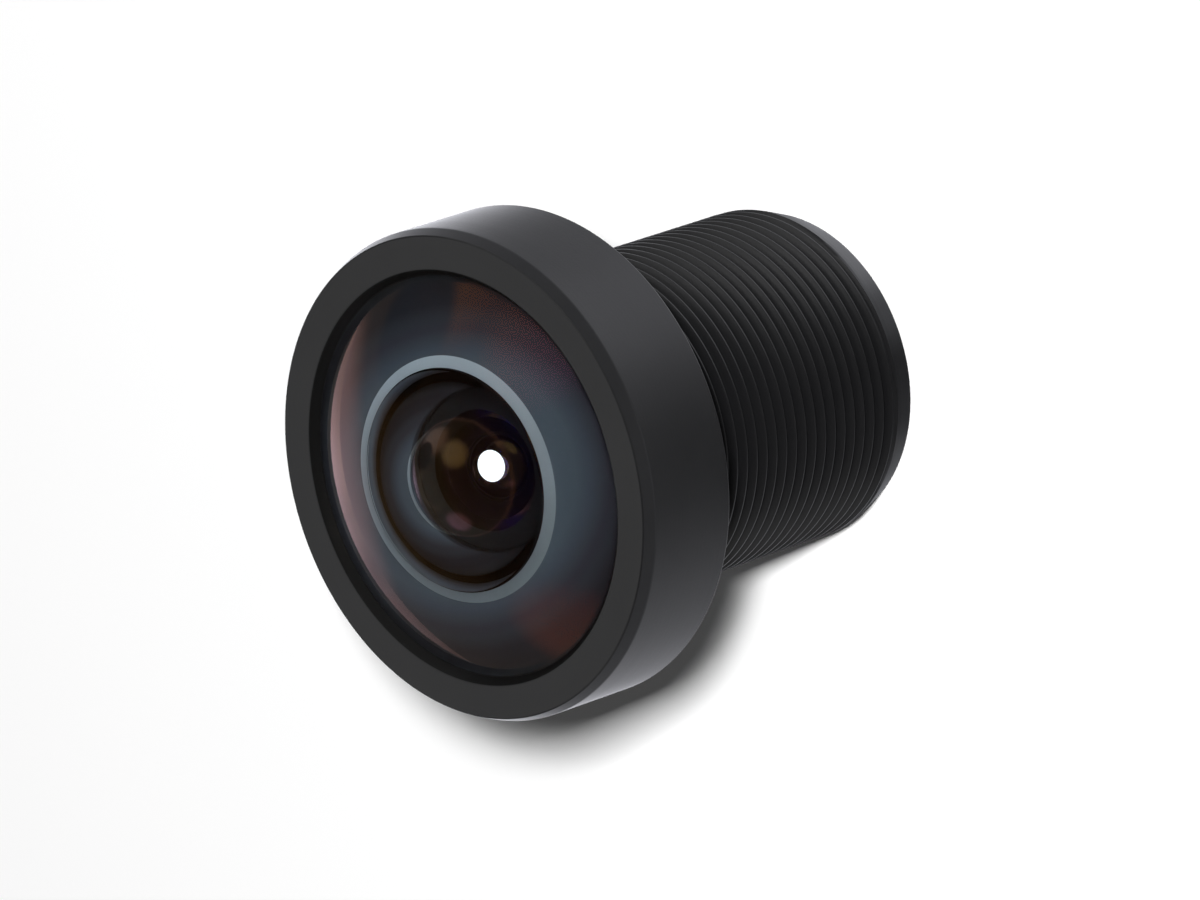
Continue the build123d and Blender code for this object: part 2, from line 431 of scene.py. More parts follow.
def turning_marks_group() -> bpy.types.NodeTree:
    """Builds the node group of fine rings that a lathe tool leaves, broken up by a blasted grain.

    Returns:
        A group with a mask of the rings and grain and a mask of slow tone drift.
    """
    tree = bpy.data.node_groups.new("turning_marks", "ShaderNodeTree")
    for name, value in (("Rings per mm", 8.0), ("Grain per mm", 14.0), ("Ring share", 0.6)):
        socket = tree.interface.new_socket(name, in_out="INPUT", socket_type="NodeSocketFloat")
        socket.default_value = value
    tree.interface.new_socket("Marks", in_out="OUTPUT", socket_type="NodeSocketFloat")
    tree.interface.new_socket("Drift", in_out="OUTPUT", socket_type="NodeSocketFloat")
    nodes = Nodes(tree)
    given = nodes.add("NodeGroupInput")
    place = nodes.add("TexCoord").outputs["Object"]
    split = nodes.add("SeparateXYZ")
    nodes.join(place, split.inputs[0])
    across = nodes.math("POWER", split.outputs[0], 2.0)
    along = nodes.math("POWER", split.outputs[1], 2.0)
    radius = nodes.math("SQRT", nodes.math("ADD", across, along))
    ring_scale = nodes.math("MULTIPLY", given.outputs[0], TO_MM)
    unrolled = nodes.add("CombineXYZ")
    nodes.join(nodes.math("MULTIPLY", radius, ring_scale), unrolled.inputs[0])
    nodes.join(nodes.math("MULTIPLY", split.outputs[2], ring_scale), unrolled.inputs[1])
    rings = nodes.noise(unrolled.outputs[0], 1.0, 3.0)
    grain = nodes.noise(place, nodes.math("MULTIPLY", given.outputs[1], TO_MM), 2.0)
    drift_per_metre = 260.0
    drift = nodes.noise(place, drift_per_metre, 2.0)
    result = nodes.add("NodeGroupOutput")
    nodes.join(nodes.mix(given.outputs[2], grain, rings), result.inputs[0])
    nodes.join(drift, result.inputs[1])
    return tree


@dataclass(frozen=True)
class BlackMetal:
    """Black anodised aluminium, satin where it was blasted and finely ringed where it was turned."""

    name: str
    dark: Colour = (0.004, 0.004, 0.0045)
    light: Colour = (0.009, 0.009, 0.0095)
    roughness: float = 0.38
    roughness_spread: float = 0.12
    specular: float = 0.5
    rings_per_mm: float = 8.0
    grain_per_mm: float = 14.0
    ring_share: float = 0.45
    bump: float = 0.18
    bump_metres: float = 0.00002

    def build(self, marks: bpy.types.NodeTree) -> bpy.types.Material:
        """Makes the material.

        Args:
            marks: The node group of turning marks.

        Returns:
            The finished material.
        """
        material, nodes = new_material(self.name)
        surface = nodes.add("BsdfPrincipled")
        surface.inputs["Specular IOR Level"].default_value = self.specular
        turned = nodes.add("Group", node_tree=marks)
        for socket, value in zip(turned.inputs, (self.rings_per_mm, self.grain_per_mm, self.ring_share)):
            socket.default_value = value
        nodes.join(nodes.blend(turned.outputs[1], self.dark, self.light), surface.inputs["Base Color"])
        smoothest = self.roughness - self.roughness_spread / 2
        spread = nodes.math("MULTIPLY_ADD", turned.outputs[0], self.roughness_spread, smoothest)
        nodes.join(spread, surface.inputs["Roughness"])
        bump = nodes.add("Bump")
        bump.inputs["Strength"].default_value = self.bump
        bump.inputs["Distance"].default_value = self.bump_metres
        nodes.join(turned.outputs[0], bump.inputs["Height"])
        nodes.join(bump.outputs[0], surface.inputs["Normal"])
        nodes.show(surface.outputs[0])
        return material


@dataclass(frozen=True)
class CoatedGlass:
    """Polished optical glass under a thin anti-reflection film."""

    name: str
    film_nanometres: float
    index: float = 1.7
    film_index: float = 1.3
    tint: Colour = (0.97, 0.985, 1.0)

    def build(self) -> bpy.types.Material:
        """Makes the material.

        Returns:
            The finished material.
        """
        material, nodes = new_material(self.name)
        surface = nodes.add("BsdfPrincipled")
        surface.inputs["Transmission Weight"].default_value = 1.0
        surface.inputs["Metallic"].default_value = 0.0
        surface.inputs["Roughness"].default_value = 0.0
        surface.inputs["IOR"].default_value = self.index
        surface.inputs["Thin Film Thickness"].default_value = self.film_nanometres
        surface.inputs["Thin Film IOR"].default_value = self.film_index
        surface.inputs["Base Color"].default_value = (*self.tint, 1)
        nodes.show(surface.outputs[0])
        return material


@dataclass(frozen=True)
class MattInk:
    """Matt black coat of a ground glass edge, a foil or a rubber ring."""

    name: str
    dark: Colour = (0.006, 0.006, 0.007)
    light: Colour = (0.014, 0.014, 0.015)
    roughness: float = 0.6
    specular: float = 0.1
    grain_per_mm: float = 9.0

    def build(self) -> bpy.types.Material:
        """Makes the material.

        Returns:
            The finished material.
        """
        material, nodes = new_material(self.name)
        surface = nodes.add("BsdfPrincipled")
        surface.inputs["Roughness"].default_value = self.roughness
        surface.inputs["Specular IOR Level"].default_value = self.specular
        grain = nodes.noise(nodes.add("TexCoord").outputs["Object"], self.grain_per_mm * TO_MM, 3.0)
        nodes.join(nodes.blend(grain, self.dark, self.light), surface.inputs["Base Color"])
        nodes.show(surface.outputs[0])
        return material


@dataclass(frozen=True)
class InkWithPaintedLight:
    """Matt surface behind the front glass, toned by its distance from the axis, which on the rear land is painted
    reflection, and with painted light that makes one side lighter round it.
    """

    name: str
    stops: tuple[tuple[float, Colour], ...]
    stretch: float = 1.0
    # Side of the painted light, and how much lighter it makes that side.
    painted_light_azimuth: float = 0.0
    painted_light_lean: float = 0.0
    roughness: float = 0.75
    specular: float = 0.2
    reach: float = 10.0
    grain_per_mm: float = 6.0
    grain_share: float = 0.06

    def build(self) -> bpy.types.Material:
        """Makes the material.

        Returns:
            The finished material.
        """
        material, nodes = new_material(self.name)
        surface = nodes.add("BsdfPrincipled")
        surface.inputs["Roughness"].default_value = self.roughness
        surface.inputs["Specular IOR Level"].default_value = self.specular
        place = nodes.add("TexCoord").outputs["Object"]
        flat = nodes.vector("MULTIPLY", place, (TO_MM * self.stretch / self.reach, TO_MM / self.reach, 0))
        stops = [(radius / self.reach, colour) for radius, colour in self.stops]
        # Painted reflection: on the rear land these tones by distance from the axis stand in for coloured reflections
        # seen through the glass; on the ground rim they are its own pale tone.
        tone_and_painted_reflection = nodes.ramp(nodes.vector("LENGTH", flat), stops)
        # Painted light: the surface is lighter on the side towards this azimuth and darker on the other, as light
        # falls.
        azimuth = math.radians(self.painted_light_azimuth)
        painted_light_way = (math.cos(azimuth), math.sin(azimuth), 0)
        facing = nodes.vector("DOT_PRODUCT", nodes.vector("NORMALIZE", flat), painted_light_way)
        painted_light_level = nodes.math("MULTIPLY_ADD", facing, self.painted_light_lean, 1.0 - self.grain_share / 2)
        grain = nodes.noise(place, self.grain_per_mm * TO_MM, 3.0)
        grain_and_painted_light = nodes.add("HueSaturation")
        nodes.join(tone_and_painted_reflection, grain_and_painted_light.inputs["Color"])
        nodes.join(nodes.math("MULTIPLY_ADD", grain, self.grain_share, painted_light_level), grain_and_painted_light.inputs["Value"])
        nodes.join(grain_and_painted_light.outputs[0], surface.inputs["Base Color"])
        nodes.show(surface.outputs[0])
        return material


class Finishes:
    """All materials of the lens, each built once."""

    def __init__(self) -> None:
        """Builds the shared turning marks and the materials."""
        marks = turning_marks_group()
        self.head = BlackMetal("satin_black_head").build(marks)
        self.lip = BlackMetal(
            "matt_black_lip", dark=(0.002, 0.002, 0.002), light=(0.004, 0.004, 0.004), roughness=0.5, specular=0.2
        ).build(marks)
        self.barrel = BlackMetal("black_threaded_barrel", roughness=0.4, light=(0.007, 0.007, 0.0075)).build(marks)
        self.inner = BlackMetal(
            "inner_black_rings", dark=(0.002, 0.002, 0.002), light=(0.005, 0.0045, 0.004),
            roughness=0.65, specular=0.04, rings_per_mm=5.0, ring_share=0.85,
        ).build(marks)
        self.funnel = BlackMetal(
            "funnel_blue_black", dark=(0.011, 0.014, 0.016), light=(0.018, 0.022, 0.024), roughness=0.6, specular=0.02
        ).build(marks)
        self.front_glass = CoatedGlass("front_glass", 100.0, index=1.8).build()
        self.hollow_glass = CoatedGlass("hollow_glass", 132.0, index=1.8).build()
        self.inner_glass = CoatedGlass("inner_glass_amber", 118.0).build()
        self.rear_glass = CoatedGlass("rear_glass_green", 112.0).build()
        self.filter_glass = CoatedGlass("filter_glass", 190.0, index=1.52, film_index=1.9).build()
        self.edge_ink = MattInk("black_edge_ink").build()
        # Black ink on the rear land with painted reflection: lighter blue-grey near the ground rim, darker outwards.
        self.land_ink_and_reflection = InkWithPaintedLight(
            "ink_on_land_painted_reflection",
            (
                (4.75, (0.080, 0.104, 0.128)), (5.6, (0.056, 0.066, 0.083)), (6.2, (0.040, 0.042, 0.054)),
                (6.7, (0.034, 0.039, 0.048)), (7.4, (0.021, 0.022, 0.028)), (8.2, (0.019, 0.019, 0.024)),
                (9.2, (0.026, 0.030, 0.034)),
            ),
            stretch=1.35,
        ).build()
        # Ground glass rim in its own pale tone, with painted light that makes one side lighter.
        self.ground_rim = InkWithPaintedLight(
            "ground_rim_with_painted_side_light", ((3.4, (0.32, 0.37, 0.405)), (3.8, (0.34, 0.40, 0.435))), painted_light_azimuth=25.0, painted_light_lean=0.42
        ).build()
        self.foil = MattInk("matt_black_foil", roughness=0.5).build()
        self.rubber = MattInk("black_rubber_seal", roughness=0.8).build()


# Metal


@dataclass
class Barrel:
    """Threaded barrel with its flange, cup and stepped bore, sizes in millimetres."""

    thread_radius: float = 5.95
    root_radius: float = 5.66
    pitch: float = 0.5
    crest: float = 0.07
    root: float = 0.1
    root_rise: float = 0.01
    crest_drop: float = 0.03
    crest_ease: float = 0.02
    first_crest: float = 1.442
    crest_azimuth: float = -90.0
    nose_end: float = 5.6
    nose_length: float = 1.16
    nose_bevel: float = 0.12
    fade_length: float = 0.2
    thread_top: float = 11.95
    relief_start: float = 12.25
    relief_radius: float = 5.55
    band_bottom: float = 0.9
    band_top: float = 12.4
    band_lap: float = 0.06
    flange_radius: float = 8.07
    flange_rear: float = 12.65
    flange_front: float = 16.45
    cup_radius: float = 7.4
    cup_floor: float = 15.7
    groove_outer: float = 7.1
    groove_inner: float = 6.25
    groove_floor: float = 15.15
    front_bore: float = 4.42
    front_ledge: float = 12.515
    middle_bore: float = 3.77
    web_front: float = 9.625
    rear_bore: float = 3.27
    ring_ledge: float = 3.225
    ring_bore: float = 3.77
    filter_ledge: float = 1.2
    filter_bore: float = 4.6
    ease: float = 0.03
    steps_per_turn: int = 160
    spare_turns: int = 3

    def envelope(self, height: float) -> float:
        """Radius of the unthreaded blank at a height."""
        if height < self.nose_length:
            share = height / self.nose_length
            return self.nose_end + (self.thread_radius - self.nose_end) * share
        if height <= self.thread_top:
            return self.thread_radius
        share = min(1.0, (height - self.thread_top) / (self.relief_start - self.thread_top))
        return self.thread_radius + (self.relief_radius - self.thread_radius) * share

    def tooth(self) -> list[Point]:
        """Section of one turn, from the middle of a root up to the middle of the next."""
        low, high = self.root_radius, self.thread_radius
        flank = (self.pitch - self.crest - self.root) / 2
        foot, head = self.root / 2, self.root / 2 + flank
        side = [
            (foot, low + self.root_rise),
            (foot + flank / 2, (low + high) / 2),
            (head - self.crest_ease, high - self.crest_drop),
            (head + self.crest_ease / 2, high),
        ]
        steps = [(0.0, low), *side, *((self.pitch - rise, radius) for rise, radius in side[::-1]), (self.pitch, low)]
        return [(radius, rise) for rise, radius in steps]

    def cut_thread(self) -> None:
        """Winds one tooth up the barrel and trims it to the blank, leaving it open at both ends."""
        begin_piece()
        tooth = self.tooth()
        turns = math.ceil((self.band_top - self.band_bottom) / self.pitch) + self.spare_turns
        crest_rise = self.pitch / 2 + self.pitch * self.crest_azimuth / 360
        drop = math.ceil((self.first_crest - self.band_bottom) / self.pitch) + 1
        start = self.first_crest - crest_rise - drop * self.pitch
        corner = (tooth[0][0] * MM, 0, start * MM)
        bpy.ops.mesh.primitive_plane_add(size=MM, location=corner)
        piece = bpy.context.object
        piece.name = "threaded_barrel"
        bpy.ops.object.transform_apply(location=True, rotation=True, scale=True)
        bpy.ops.object.mode_set(mode="EDIT")
        bpy.ops.mesh.select_all(action="SELECT")
        bpy.ops.mesh.merge(type="CENTER")
        for before, after in zip(tooth, tooth[1:]):
            move = ((after[0] - before[0]) * MM, 0, (after[1] - before[1]) * MM)
            bpy.ops.mesh.extrude_vertices_move(TRANSFORM_OT_translate={"value": move})
        bpy.ops.object.mode_set(mode="OBJECT")
        winding = piece.modifiers.new("winding", "SCREW")
        winding.axis = "Z"
        winding.screw_offset = self.pitch * MM
        winding.iterations = turns
        winding.steps = self.steps_per_turn
        winding.render_steps = self.steps_per_turn
        winding.use_smooth_shade = True
        bpy.ops.object.modifier_apply(modifier=winding.name)
        for vertex in piece.data.vertices:
            height = vertex.co.z / MM
            radius = math.hypot(vertex.co.x, vertex.co.y) / MM
            blank = self.envelope(height)
            depth = self.thread_radius - radius
            share = min(1.0, max(0.0, (height - self.nose_length) / self.fade_length))
            wanted = min(blank, self.thread_radius - depth) if height > self.thread_top else blank - depth * share
            vertex.co.x *= wanted / radius
            vertex.co.y *= wanted / radius
        bpy.ops.object.mode_set(mode="EDIT")
        bpy.ops.mesh.select_all(action="SELECT")
        bpy.ops.mesh.remove_doubles(threshold=SEAM_GAP)
        for height, clear in ((self.band_bottom, "clear_inner"), (self.band_top, "clear_outer")):
            bpy.ops.mesh.select_all(action="SELECT")
            bpy.ops.mesh.bisect(
                plane_co=(0, 0, height * MM), plane_no=(0, 0, 1), threshold=TRIM_GAP, **{clear: True}
            )

    def build(self, finish: bpy.types.Material) -> bpy.types.Object:
        """Models the whole barrel.

        Args:
            finish: Its material.

        Returns:
            The barrel.
        """
        self.cut_thread()
        lap = self.band_bottom - self.band_lap
        inside = eased(
            [
                (self.relief_radius, self.band_top), (self.relief_radius, self.flange_rear),
                (self.flange_radius, self.flange_rear), (self.flange_radius, self.flange_front),
                (self.cup_radius, self.flange_front), (self.cup_radius, self.cup_floor),
                (self.groove_outer, self.cup_floor), (self.groove_outer, self.groove_floor),
                (self.groove_inner, self.groove_floor), (self.groove_inner, self.cup_floor),
                (self.front_bore, self.cup_floor), (self.front_bore, self.front_ledge),
                (self.middle_bore, self.front_ledge), (self.middle_bore, self.web_front),
                (self.rear_bore, self.web_front), (self.rear_bore, self.ring_ledge),
                (self.ring_bore, self.ring_ledge), (self.ring_bore, self.filter_ledge),
                (self.filter_bore, self.filter_ledge), (self.filter_bore, 0.0),
                (self.nose_end - self.nose_bevel, 0.0), (self.nose_end, self.nose_bevel),
                (self.envelope(lap), lap),
            ],
            self.ease,
            closed=False,
        )
        lathe = Lathe("threaded_barrel")
        bpy.ops.mesh.select_all(action="DESELECT")
        bpy.ops.object.mode_set(mode="OBJECT")
        mesh = bpy.context.object.data
        for edge in mesh.edges:
            ends = (mesh.vertices[i].co.z for i in edge.vertices)
            edge.select = all(abs(z - self.band_top * MM) < LEVEL_GAP for z in ends)
        bpy.ops.object.mode_set(mode="EDIT")
        bpy.ops.mesh.select_mode(type="EDGE")
        lathe.radius, lathe.height = inside[0]
        for point in inside[1:]:
            lathe.cut_to(point)
        lathe.select_open_ring()
        bpy.ops.mesh.bridge_edge_loops()
        return finish_piece(lathe.part_off(), "barrel", finish)


@dataclass
class FrontCap:
    """Oversize cap with the sloped lip that holds the front element, sizes in millimetres."""

    lip_radius: float = 7.05
    lip_seat: float = 16.6
    face_radius: float = 7.3
    front: float = 16.9
    outer: float = 8.67
    bevel_width: float = 0.18
    bevel_height: float = 0.45
    rear: float = 12.65
    rear_bevel: float = 0.15
    bore: float = 8.1
    ease: float = 0.035

    def build(self, finish: bpy.types.Material, lip_finish: bpy.types.Material) -> bpy.types.Object:
        """Models the cap.

        Args:
            finish: Its material.
            lip_finish: Material of the sloped lip.

        Returns:
            The cap.
        """
        section = [
            (self.lip_radius, self.lip_seat), (self.face_radius, self.front),
            (self.outer - self.bevel_width, self.front), (self.outer, self.front - self.bevel_height),
            (self.outer, self.rear + self.rear_bevel), (self.outer - self.rear_bevel, self.rear),
            (self.bore, self.rear), (self.bore, self.lip_seat),
        ]
        piece = Lathe("front_cap_ring", segments=320).turn(eased(section, self.ease), Shape.RING)
        finish_piece(piece, "front_cap", finish, lip_finish)
        for face in piece.data.polygons:
            if axis_distance(face) < self.face_radius:
                face.material_index = 1
        return piece


@dataclass
class PlainRing:
    """Spacer, foil, stop or baffle turned from its own section."""

    node: str
    piece: str
    section: tuple[Point, ...]
    ease: float = 0.01

    def build(self, finish: bpy.types.Material) -> bpy.types.Object:
        """Models the ring.

        Args:
            finish: Its material.

        Returns:
            The ring.
        """
        piece = Lathe(self.piece, segments=192).turn(eased(list(self.section), self.ease), Shape.RING)
        return finish_piece(piece, self.node, finish)


# Glass


@dataclass
class FrontElement:
    """Domed meniscus with a deep hollow, inked edge and bare ground rim, sizes in millimetres."""

    radius: float = 7.36
    seat: float = 15.71
    lip_seat: float = 16.59
    front_rim: float = 7.05
    front_vertex: float = 19.01
    land_radius: float = 3.8
    rear_rim: float = 3.45
    rim_height: float = 15.9
    hollow_vertex: float = 17.875
    ease: float = 0.02
    slack: float = 0.01
    dome_depth: float = 0.3

    def dome_height(self, radius: float) -> float:
        """Height of the front dome at a distance from the axis."""
        depth = self.front_vertex - self.lip_seat
        bend = (self.front_rim**2 + depth**2) / (2 * depth)
        return self.front_vertex - bend + math.sqrt(bend**2 - radius**2)

    def build(self, *finishes: bpy.types.Material) -> bpy.types.Object:
        """Models the element and inks its edge and rear land.

        Args:
            *finishes: Materials of the dome, the rear land, the ground rim, the edge and the hollow.

        Returns:
            The element.
        """
        hollow = dome(self.rear_rim, self.rim_height, self.hollow_vertex, 32)
        rim = eased(
            [
                (self.rear_rim, self.rim_height), (self.land_radius, self.seat), (self.radius, self.seat),
                (self.radius, self.lip_seat), (self.front_rim, self.lip_seat),
            ],
            self.ease,
            closed=False,
        )
        front = dome(self.front_rim, self.lip_seat, self.front_vertex, 40)
        section = hollow[::-1] + rim[1:-1] + front
        lathe = Lathe("front_glass_dome", segments=320)
        piece = lathe.turn(section, Shape.SOLID, (self.hollow_vertex, self.front_vertex))
        finish_piece(piece, "front_element", *finishes)
        for face in piece.data.polygons:
            radius, height = axis_distance(face), face.center.z / MM
            if self.rear_rim < radius < self.land_radius - self.slack and height < self.rim_height:
                face.material_index = GlassFace.RIM
            elif radius > self.radius - 3 * self.slack or radius > self.front_rim and height > self.rim_height:
                face.material_index = GlassFace.EDGE
            elif radius < self.rear_rim and height < self.dome_height(radius) - self.dome_depth:
                face.material_index = GlassFace.HOLLOW
            elif radius > self.land_radius - 2 * self.slack and height < self.rim_height:
                face.material_index = GlassFace.LAND
        return piece


@dataclass
class Element:
    """Inner lens element, from its two polished surfaces and its edge, sizes in millimetres."""

    node: str
    piece: str
    radius: float
    rear: float
    front: float
    front_rim: float = 0.0
    front_vertex: float = 0.0
    rear_rim: float = 0.0
    rear_vertex: float = 0.0
    air: float = 0.005
    ease: float = 0.02
    edge_depth: float = 0.012

    def side(self, rim: float, land: float, vertex: float) -> list[Point]:
        """Points of one side, from the land in to the last ring, for a curved or a flat surface."""
        if rim:
            return dome(rim, land, vertex, 24)
        return [(self.radius * share, land) for share in (0.7, 0.4, 0.1)]

    def build(self, glass: bpy.types.Material, ink: bpy.types.Material) -> bpy.types.Object:
        """Models the element and inks its edge.

        Args:
            glass: Material of the polished surfaces.
            ink: Material of the edge.

        Returns:
            The element.
        """
        rear, front = self.rear + self.air, self.front - self.air
        rear_side = self.side(self.rear_rim, rear, self.rear_vertex)
        front_side = self.side(self.front_rim, front, self.front_vertex)
        edge = eased([rear_side[0], (self.radius, rear), (self.radius, front), front_side[0]], self.ease, False)
        if self.rear_rim == self.radius:
            edge = [rear_side[0], (self.radius, front), front_side[0]]
        if self.front_rim == self.radius:
            edge = [rear_side[0], (self.radius, rear), front_side[0]]
        section = rear_side[::-1] + edge[1:-1] + front_side
        poles = (self.rear_vertex if self.rear_rim else rear, self.front_vertex if self.front_rim else front)
        piece = Lathe(self.piece, segments=192).turn(section, Shape.SOLID, poles)
        finish_piece(piece, self.node, glass, ink)
        for face in piece.data.polygons:
            if axis_distance(face) > self.radius - self.edge_depth and abs(face.normal.z) < 0.5:
                face.material_index = 1
        return piece


# Studio


@dataclass(frozen=True)
class RoomZone:
    """Soft-edged round part of the room that gloss and glass see, with its half angles in degrees."""

    towards: tuple[float, float, float]
    core: float
    reach: float
    level: float
    tint: Colour = (1.0, 1.0, 1.0)


@dataclass
class Studio:
    """White floor and surround, the dim room that the lens mirrors, the key lamp and the camera, in metres."""

    floor_size: float = 1.2
    floor_colour: Colour = (0.97, 0.97, 0.97)
    floor_glow: float = 0.02
    ambient: float = 0.04
    key_power: float = 5.3
    key_size: float = 0.05
    key_place: tuple[float, float, float] = (0.0434, -0.411, 0.434)
    camera_place: tuple[float, float, float] = (0.0, -0.285384, 0.284150)
    camera_aim: tuple[float, float, float] = (-0.000586, 0.0, 0.010244)
    camera_roll: float = -108.507
    focal_length: float = 343.18
    sensor_width: float = 36.0
    clip_range: tuple[float, float] = (0.02, 10.0)
    floor_tones: tuple[tuple[float, float], ...] = (
        (-180, 0.74), (-160, 0.68), (-140, 0.4), (-120, 0.16), (-100, 0.12), (-80, 0.46), (-60, 1.1), (-40, 1.1),
        (-20, 0.74), (0, 0.55), (17, 0.66), (34, 1.6), (51, 3.4), (70, 3.4), (110, 2.6), (129, 2.6), (141, 1.1),
        (160, 0.9), (180, 0.74),
    )
    far_tones: tuple[tuple[float, float], ...] = (
        (-180, 0.5), (40, 0.5), (70, 0.9), (84, 1.4), (91, 0.9), (98, 0.45), (140, 0.35), (180, 0.5),
    )
    highest_tone: float = 4.0
    near_tint: Colour = (0.97, 0.98, 1.05)
    far_tint: Colour = (1.0, 0.78, 1.06)
    near_reach: float = 0.026
    far_start: float = 0.05
    room_tone: Colour = (0.125, 0.122, 0.13)
    bright_zones: tuple[RoomZone, ...] = (
        RoomZone((0.56, -0.18, 0.81), 10, 24, 1.3),
        RoomZone((0.85, 0.30, 0.43), 8, 26, 0.9, (1.05, 0.85, 1.1)),
        RoomZone((-0.78, 0.35, 0.50), 8, 20, 0.8, (1.0, 0.58, 1.4)),
        RoomZone((0.17, 0.98, -0.07), 6, 24, 0.7, (1.0, 0.72, 1.15)),
        RoomZone((0.0, 0.70, 0.71), 8, 31, 0.6),
    )
    dark_zones: tuple[RoomZone, ...] = (RoomZone((0.62, 0.62, 0.45), 14, 19, 0.05),)
    glass_gap: RoomZone = RoomZone((0.0, 0.66, 0.75), 16, 32, 0.22)

    def tones_round(
        self, nodes: Nodes, turn: bpy.types.NodeSocket, tones: tuple[tuple[float, float], ...]
    ) -> bpy.types.NodeSocket:
        """Adds a ramp of floor tones round the lens.

        Args:
            nodes: The tree to add to.
            turn: Azimuth as a share of a full turn.
            tones: Azimuth in degrees and level of each tone.

        Returns:
            The tone.
        """
        stops = [(azimuth / 360 + 0.5, (level / self.highest_tone,) * 3) for azimuth, level in tones]
        return nodes.math("MULTIPLY", nodes.ramp(turn, stops, "EASE"), self.highest_tone)

    def lay_floor(self) -> None:
        """Lays the pale floor, white to the camera, with the tones of a room in satin reflections."""
        begin_piece()
        bpy.ops.mesh.primitive_plane_add(size=self.floor_size, location=(0, 0, 0))
        floor = bpy.context.object
        floor.name = "studio_floor"
        material, nodes = new_material("white_floor")
        paper = nodes.add("BsdfDiffuse")
        paper.inputs[0].default_value = (*self.floor_colour, 1)
        glow = nodes.add("Emission")
        path = nodes.add("LightPath").outputs
        seen = nodes.math("MAXIMUM", path["Is Camera Ray"], path["Is Transmission Ray"])
        nodes.join(nodes.math("MULTIPLY", seen, self.floor_glow), glow.inputs["Strength"])
        lit = nodes.add("AddShader")
        nodes.join(paper.outputs[0], lit.inputs[0])
        nodes.join(glow.outputs[0], lit.inputs[1])
        place = nodes.add("TexCoord").outputs["Object"]
        split = nodes.add("SeparateXYZ")
        nodes.join(place, split.inputs[0])
        azimuth = nodes.math("ARCTAN2", split.outputs[1], split.outputs[0])
        turn = nodes.math("MULTIPLY_ADD", azimuth, 0.5 / math.pi, 0.5)
        beyond = nodes.fade(nodes.vector("LENGTH", place), self.near_reach, self.far_start)
        near, far = (self.tones_round(nodes, turn, tones) for tones in (self.floor_tones, self.far_tones))
        room = nodes.add("Emission")
        sharp = nodes.math("MULTIPLY", beyond, path["Is Singular Ray"])
        nodes.join(nodes.blend(sharp, self.near_tint, self.far_tint), room.inputs["Color"])
        nodes.join(nodes.mix(beyond, near, far), room.inputs["Strength"])
        glossy = nodes.add("MixShader")
        nodes.join(path["Is Glossy Ray"], glossy.inputs[0])
        nodes.join(lit.outputs[0], glossy.inputs[1])
        nodes.join(room.outputs[0], glossy.inputs[2])
        sided = nodes.add("MixShader")
        nodes.join(nodes.add("NewGeometry").outputs["Backfacing"], sided.inputs[0])
        nodes.join(glossy.outputs[0], sided.inputs[1])
        nodes.join(nodes.add("BsdfTransparent").outputs[0], sided.inputs[2])
        nodes.show(sided.outputs[0])
        floor.data.materials.append(material)

    def zone_level(
        self, nodes: Nodes, way: bpy.types.NodeSocket, zone: RoomZone, outside: float
    ) -> bpy.types.NodeSocket:
        """Adds the level of one zone of the room.

        Args:
            nodes: The tree to add to.
            way: Direction that is looked in.
            zone: The zone.
            outside: Level beyond its reach.

        Returns:
            The level in that direction.
        """
        facing = nodes.vector("DOT_PRODUCT", way, Vector(zone.towards).normalized())
        reach, core = (math.cos(math.radians(angle)) for angle in (zone.reach, zone.core))
        return nodes.fade(facing, reach, core, outside, zone.level)

    def light_surround(self) -> None:
        """Makes the surround white to the eye and faint as a light, with the dim room in gloss and glass.

        Rough metal sees the room without its tints. Glass sees them, and a gap where no lamp stands.
        """
        world = bpy.data.worlds.new("white_surround")
        bpy.context.scene.world = world
        world.use_nodes = True
        nodes = Nodes(world.node_tree)
        way = nodes.add("TexCoord").outputs["Generated"]
        tone: object = self.room_tone
        for zone in self.bright_zones:
            glow = nodes.vector("SCALE", zone.tint, self.zone_level(nodes, way, zone, 0.0))
            tone = nodes.vector("ADD", glow, tone)
        for zone in self.dark_zones:
            tone = nodes.vector("SCALE", tone, self.zone_level(nodes, way, zone, 1.0))
        path = nodes.add("LightPath").outputs
        rough = nodes.math("LESS_THAN", path["Is Singular Ray"], 0.5)
        gap = nodes.math("MAXIMUM", self.zone_level(nodes, way, self.glass_gap, 1.0), rough)
        tone = nodes.vector("SCALE", tone, gap)
        neutral = nodes.add("RGBToBW")
        nodes.join(tone, neutral.inputs[0])
        bounced = nodes.math("MAXIMUM", path["Is Glossy Ray"], path["Is Transmission Ray"])
        room = nodes.blend(bounced, (self.ambient,) * 3, nodes.blend(rough, tone, neutral.outputs[0]))
        background = nodes.add("Background")
        nodes.join(nodes.blend(path["Is Camera Ray"], room, (1.0, 1.0, 1.0)), background.inputs["Color"])
        nodes.show(background.outputs[0], "OutputWorld")

    def hang_key(self) -> None:
        """Hangs the soft key lamp that casts the shadow."""
        lamp = bpy.data.lights.new("key_softbox", "AREA")
        lamp.energy = self.key_power
        lamp.size = self.key_size
        key = bpy.data.objects.new("key_softbox", lamp)
        bpy.context.scene.collection.objects.link(key)
        key.location = self.key_place
        key.rotation_mode = "QUATERNION"
        key.rotation_quaternion = (-Vector(self.key_place)).to_track_quat("-Z", "Y")
        key.visible_glossy = False

